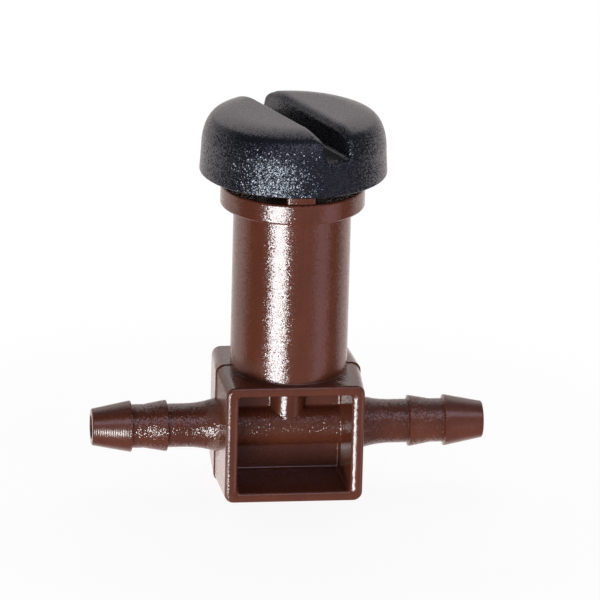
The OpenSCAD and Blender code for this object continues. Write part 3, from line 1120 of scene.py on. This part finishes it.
@dataclass
class Camera:
    """The camera at the photograph's place.

    Args:
        azimuth: degrees from the front towards +X.
        elevation: degrees above the floor.
        roll: degrees that the frame is turned.
        focal_px: focal length in pixels of the photograph's frame.
        sensor: width of the sensor in millimetres.
        distance: metres to the target.
        target: point near the valve's middle.
        across: how far the target stands right of the frame's middle.
        above: how far it stands over the frame's middle.
        nearest: nearest distance that the camera shows.
    """

    azimuth: float = -7.747
    elevation: float = 18.988
    roll: float = 1.478
    focal_px: float = 7168.0
    sensor: float = 36.0
    distance: float = 700.84 * MM
    target: Vector = field(default_factory=lambda: Vector((0, 0, 20 * MM)))
    across: float = -0.951 * MM
    above: float = 1.163 * MM
    nearest: float = 10 * MM

    def build(self) -> None:
        """Places the camera and makes it the scene's."""
        back = bearing(self.azimuth, self.elevation)
        turn = math.radians(self.azimuth)
        flat_right = Vector((math.cos(turn), math.sin(turn), 0))
        flat_up = back.cross(flat_right)
        roll = math.radians(self.roll)
        right = math.cos(roll) * flat_right + math.sin(roll) * flat_up
        up = math.cos(roll) * flat_up - math.sin(roll) * flat_right
        data = bpy.data.cameras.new("photo_camera")
        data.sensor_width = self.sensor
        data.lens = self.focal_px / FRAME_PX * self.sensor
        data.clip_start = self.nearest
        camera = bpy.data.objects.new("photo_camera", data)
        bpy.context.scene.collection.objects.link(camera)
        place = self.target + self.distance * back - self.across * right - self.above * up
        camera.matrix_world = Matrix.Translation(place) @ Matrix((right, up, back)).transposed().to_4x4()
        bpy.context.scene.camera = camera


@dataclass
class Floor:
    """The pale round floor, which keeps the valve's shadow.

    Args:
        radius: its radius.
        sides: number of its sides.
        colour: its colour.
        roughness: its roughness.
        fade: shares of the radius between which it fades into the backdrop.
        glow: brightness of the white that the camera sees over its middle.
        white: share of that white at its middle, where the rest is the lit floor.
    """

    radius: float = 75 * MM
    sides: int = 96
    colour: Colour = (0.82, 0.82, 0.82, 1)
    roughness: float = 0.9
    fade: tuple[float, float] = (0.4, 0.95)
    glow: float = 1.14
    white: float = 0.8

    def build(self) -> None:
        """Lays the floor."""
        bpy.ops.object.select_all(action="DESELECT")
        bpy.ops.mesh.primitive_circle_add(vertices=self.sides, radius=self.radius, fill_type="NGON")
        floor = bpy.context.view_layer.objects.active
        floor.name = "floor"
        floor.visible_glossy = False
        floor.visible_diffuse = False
        floor.visible_shadow = False
        floor.data.materials.append(self._finish())

    def _finish(self) -> bpy.types.Material:
        """Makes the floor pale, and white for the camera towards its edge.

        Returns:
            The floor's material.
        """
        material, graph, shader = start_material("pale_floor")
        graph.feed(shader, "Base Color", self.colour)
        graph.feed(shader, "Roughness", self.roughness)
        far = graph.add("ShaderNodeVectorMath", operation="LENGTH")
        graph.feed(far, 0, graph.add("ShaderNodeTexCoord").outputs["Object"])
        start, end = (share * self.radius for share in self.fade)
        edge = graph.blend(far.outputs["Value"], start, end)
        light = graph.add("ShaderNodeEmission")
        graph.feed(light, "Strength", graph.mix(edge, self.glow, 1.0))
        seen = graph.add("ShaderNodeLightPath").outputs["Is Camera Ray"]
        share = graph.math("MULTIPLY", seen, graph.mix(edge, self.white, 1.0))
        graph.surface(share, shader.outputs[0], light.outputs[0])
        return material


@dataclass
class Backdrop:
    """The white backdrop, which the gloss shows behind the valve, and a dim room before it.

    The pairs are parts of a direction from the valve, whose length is 1.

    Args:
        white: brightness of the backdrop for the camera.
        wall_low: brightness of its foot in the gloss.
        wall_high: brightness of its top in the gloss.
        wall_hue: its colour in the gloss.
        wall_rise: upward parts between which its brightness changes.
        wall_edge: backward parts between which the room gives way to it.
        wall_lean: how much further back that is, for each part upwards.
        room: brightness of the room.
        dark_side: brightness of the room at its two sides.
        room_hue: colour of the room.
        left: parts to the right between which the dark left side gives way to the room.
        right: parts to the right between which the dark right side does.
    """

    white: float = 1.0
    wall_low: float = 1.06
    wall_high: float = 0.78
    wall_hue: Colour = (1.08, 0.99, 0.975, 1)
    wall_rise: tuple[float, float] = (-0.1, 0.25)
    wall_edge: tuple[float, float] = (0.0, 0.45)
    wall_lean: float = 0.5
    room: float = 0.25
    dark_side: float = 0.06
    room_hue: Colour = (0.86, 0.93, 1.1, 1)
    left: tuple[float, float] = (-0.85, 0.1)
    right: tuple[float, float] = (0.97, 0.6)

    def build(self) -> None:
        """Makes the scene's world."""
        world = bpy.data.worlds.new("studio")
        bpy.context.scene.world = world
        world.use_nodes = True
        graph = Graph(world.node_tree)
        split = graph.add("ShaderNodeSeparateXYZ")
        graph.feed(split, 0, graph.add("ShaderNodeTexCoord").outputs["Generated"])
        across, depth, height = split.outputs
        reach = graph.math("MULTIPLY_ADD", graph.math("MAXIMUM", height, 0.0), -self.wall_lean, depth)
        behind = graph.blend(reach, *self.wall_edge)
        lit = graph.math("MULTIPLY", graph.blend(across, *self.left), graph.blend(across, *self.right))
        room = graph.mix(lit, self.dark_side, self.room)
        wall = graph.mix(graph.blend(height, *self.wall_rise), self.wall_low, self.wall_high)
        soft = graph.mix(behind, room, wall)
        hue = graph.mix(behind, self.room_hue, self.wall_hue, Mix.COLOUR)
        path = graph.add("ShaderNodeLightPath")
        seen = graph.math("MAXIMUM", path.outputs["Is Camera Ray"], path.outputs["Is Transmission Ray"])
        background = world.node_tree.nodes["Background"]
        graph.feed(background, "Strength", graph.mix(seen, soft, self.white))
        graph.feed(background, "Color", graph.mix(seen, hue, (1, 1, 1, 1), Mix.COLOUR))


@dataclass
class Studio:
    """Floor, backdrop, lamps, cards and camera.

    Args:
        aim: height of the point that the lamps face.
        lamps: the lamps.
        flags: the cards.
    """

    aim: float = 18 * MM
    lamps: tuple[SoftBox, ...] = (
        SoftBox("key_softbox", -36, -19, 40, 26, 7.2, in_gloss=False),
        SoftBox("key_reflector", -31, -16, 28, 22, 26.0, (0.95, 0.98, 1.0), on_matt=False),
        SoftBox("fill_softbox", 60, -14, 40, 40, 3.0, in_gloss=False),
        SoftBox("right_reflector", 57, -19, 28, 26, 0.9, (1.0, 0.75, 0.95), on_matt=False),
        SoftBox("sky_reflector", 10, 43, 74, 20, 2.3, (0.95, 0.85, 1.1), on_matt=False),
        SoftBox("rear_softbox", 170, 45, 60, 40, 0.7, (1.0, 0.9, 0.88)),
    )
    flags: tuple[Flag, ...] = (
        Flag("knob_flag", (-24.3 * MM, -3 * MM, 35.5 * MM), 30 * MM, 11 * MM),
        Flag("tower_flag", (-21 * MM, -3 * MM, 19.5 * MM), 30 * MM, 21 * MM),
        Flag("right_knob_flag", (4.5 * MM, -17 * MM, 35 * MM), 18 * MM, 13 * MM, True),
        Flag("right_tower_flag", (2.9 * MM, -15.5 * MM, 20.35 * MM), 21 * MM, 16.3 * MM, True),
        Flag("right_barb_flag", (7.6 * MM, -10 * MM, 3.5 * MM), 20 * MM, 17 * MM, True),
        Flag("over_barb_flag", (-8.2 * MM, -1.75 * MM, 9.65 * MM), 16.5 * MM, 4.9 * MM, True, 0.5),
        Flag("under_barb_flag", (-8.2 * MM, -1.75 * MM, -0.7 * MM), 16.5 * MM, 8.4 * MM, True, 1.7),
        Flag("before_barb_flag", (-8.2 * MM, -7.3 * MM, 5.35 * MM), 5.4 * MM, 3.7 * MM, True, 1.2),
        Flag("behind_barb_flag", (-8.2 * MM, 4.4 * MM, 5.35 * MM), 4.2 * MM, 3.7 * MM, True, 1.2),
    )

    def build(self) -> None:
        """Builds the whole studio."""
        Floor().build()
        Backdrop().build()
        for lamp in self.lamps:
            lamp.build(Vector((0, 0, self.aim)))
        for flag in self.flags:
            flag.build()
        Camera().build()
        bpy.context.scene.view_settings.view_transform = "Standard"


def main() -> None:
    """Builds the valve and its studio, and reports each piece."""
    logging.basicConfig(level=logging.INFO, format="%(name)s: %(message)s")
    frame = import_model()
    finishes = Finishes()
    pieces = [
        Moulding("valve_body", Body.BODY, Slot.BROWN),
        Moulding("bonnet", Body.BODY, Slot.BROWN),
        Moulding("knob", Body.ADJUSTER, Slot.KNOB),
        ThreadedSpindle(),
        HiddenSeal("bonnet_seal"),
        HiddenSeal("upper_stem_seal"),
        HiddenSeal("lower_stem_seal"),
    ]
    for piece in pieces:
        piece.build(frame, finishes)
    Studio().build()


if __name__ == "__main__":
    main()
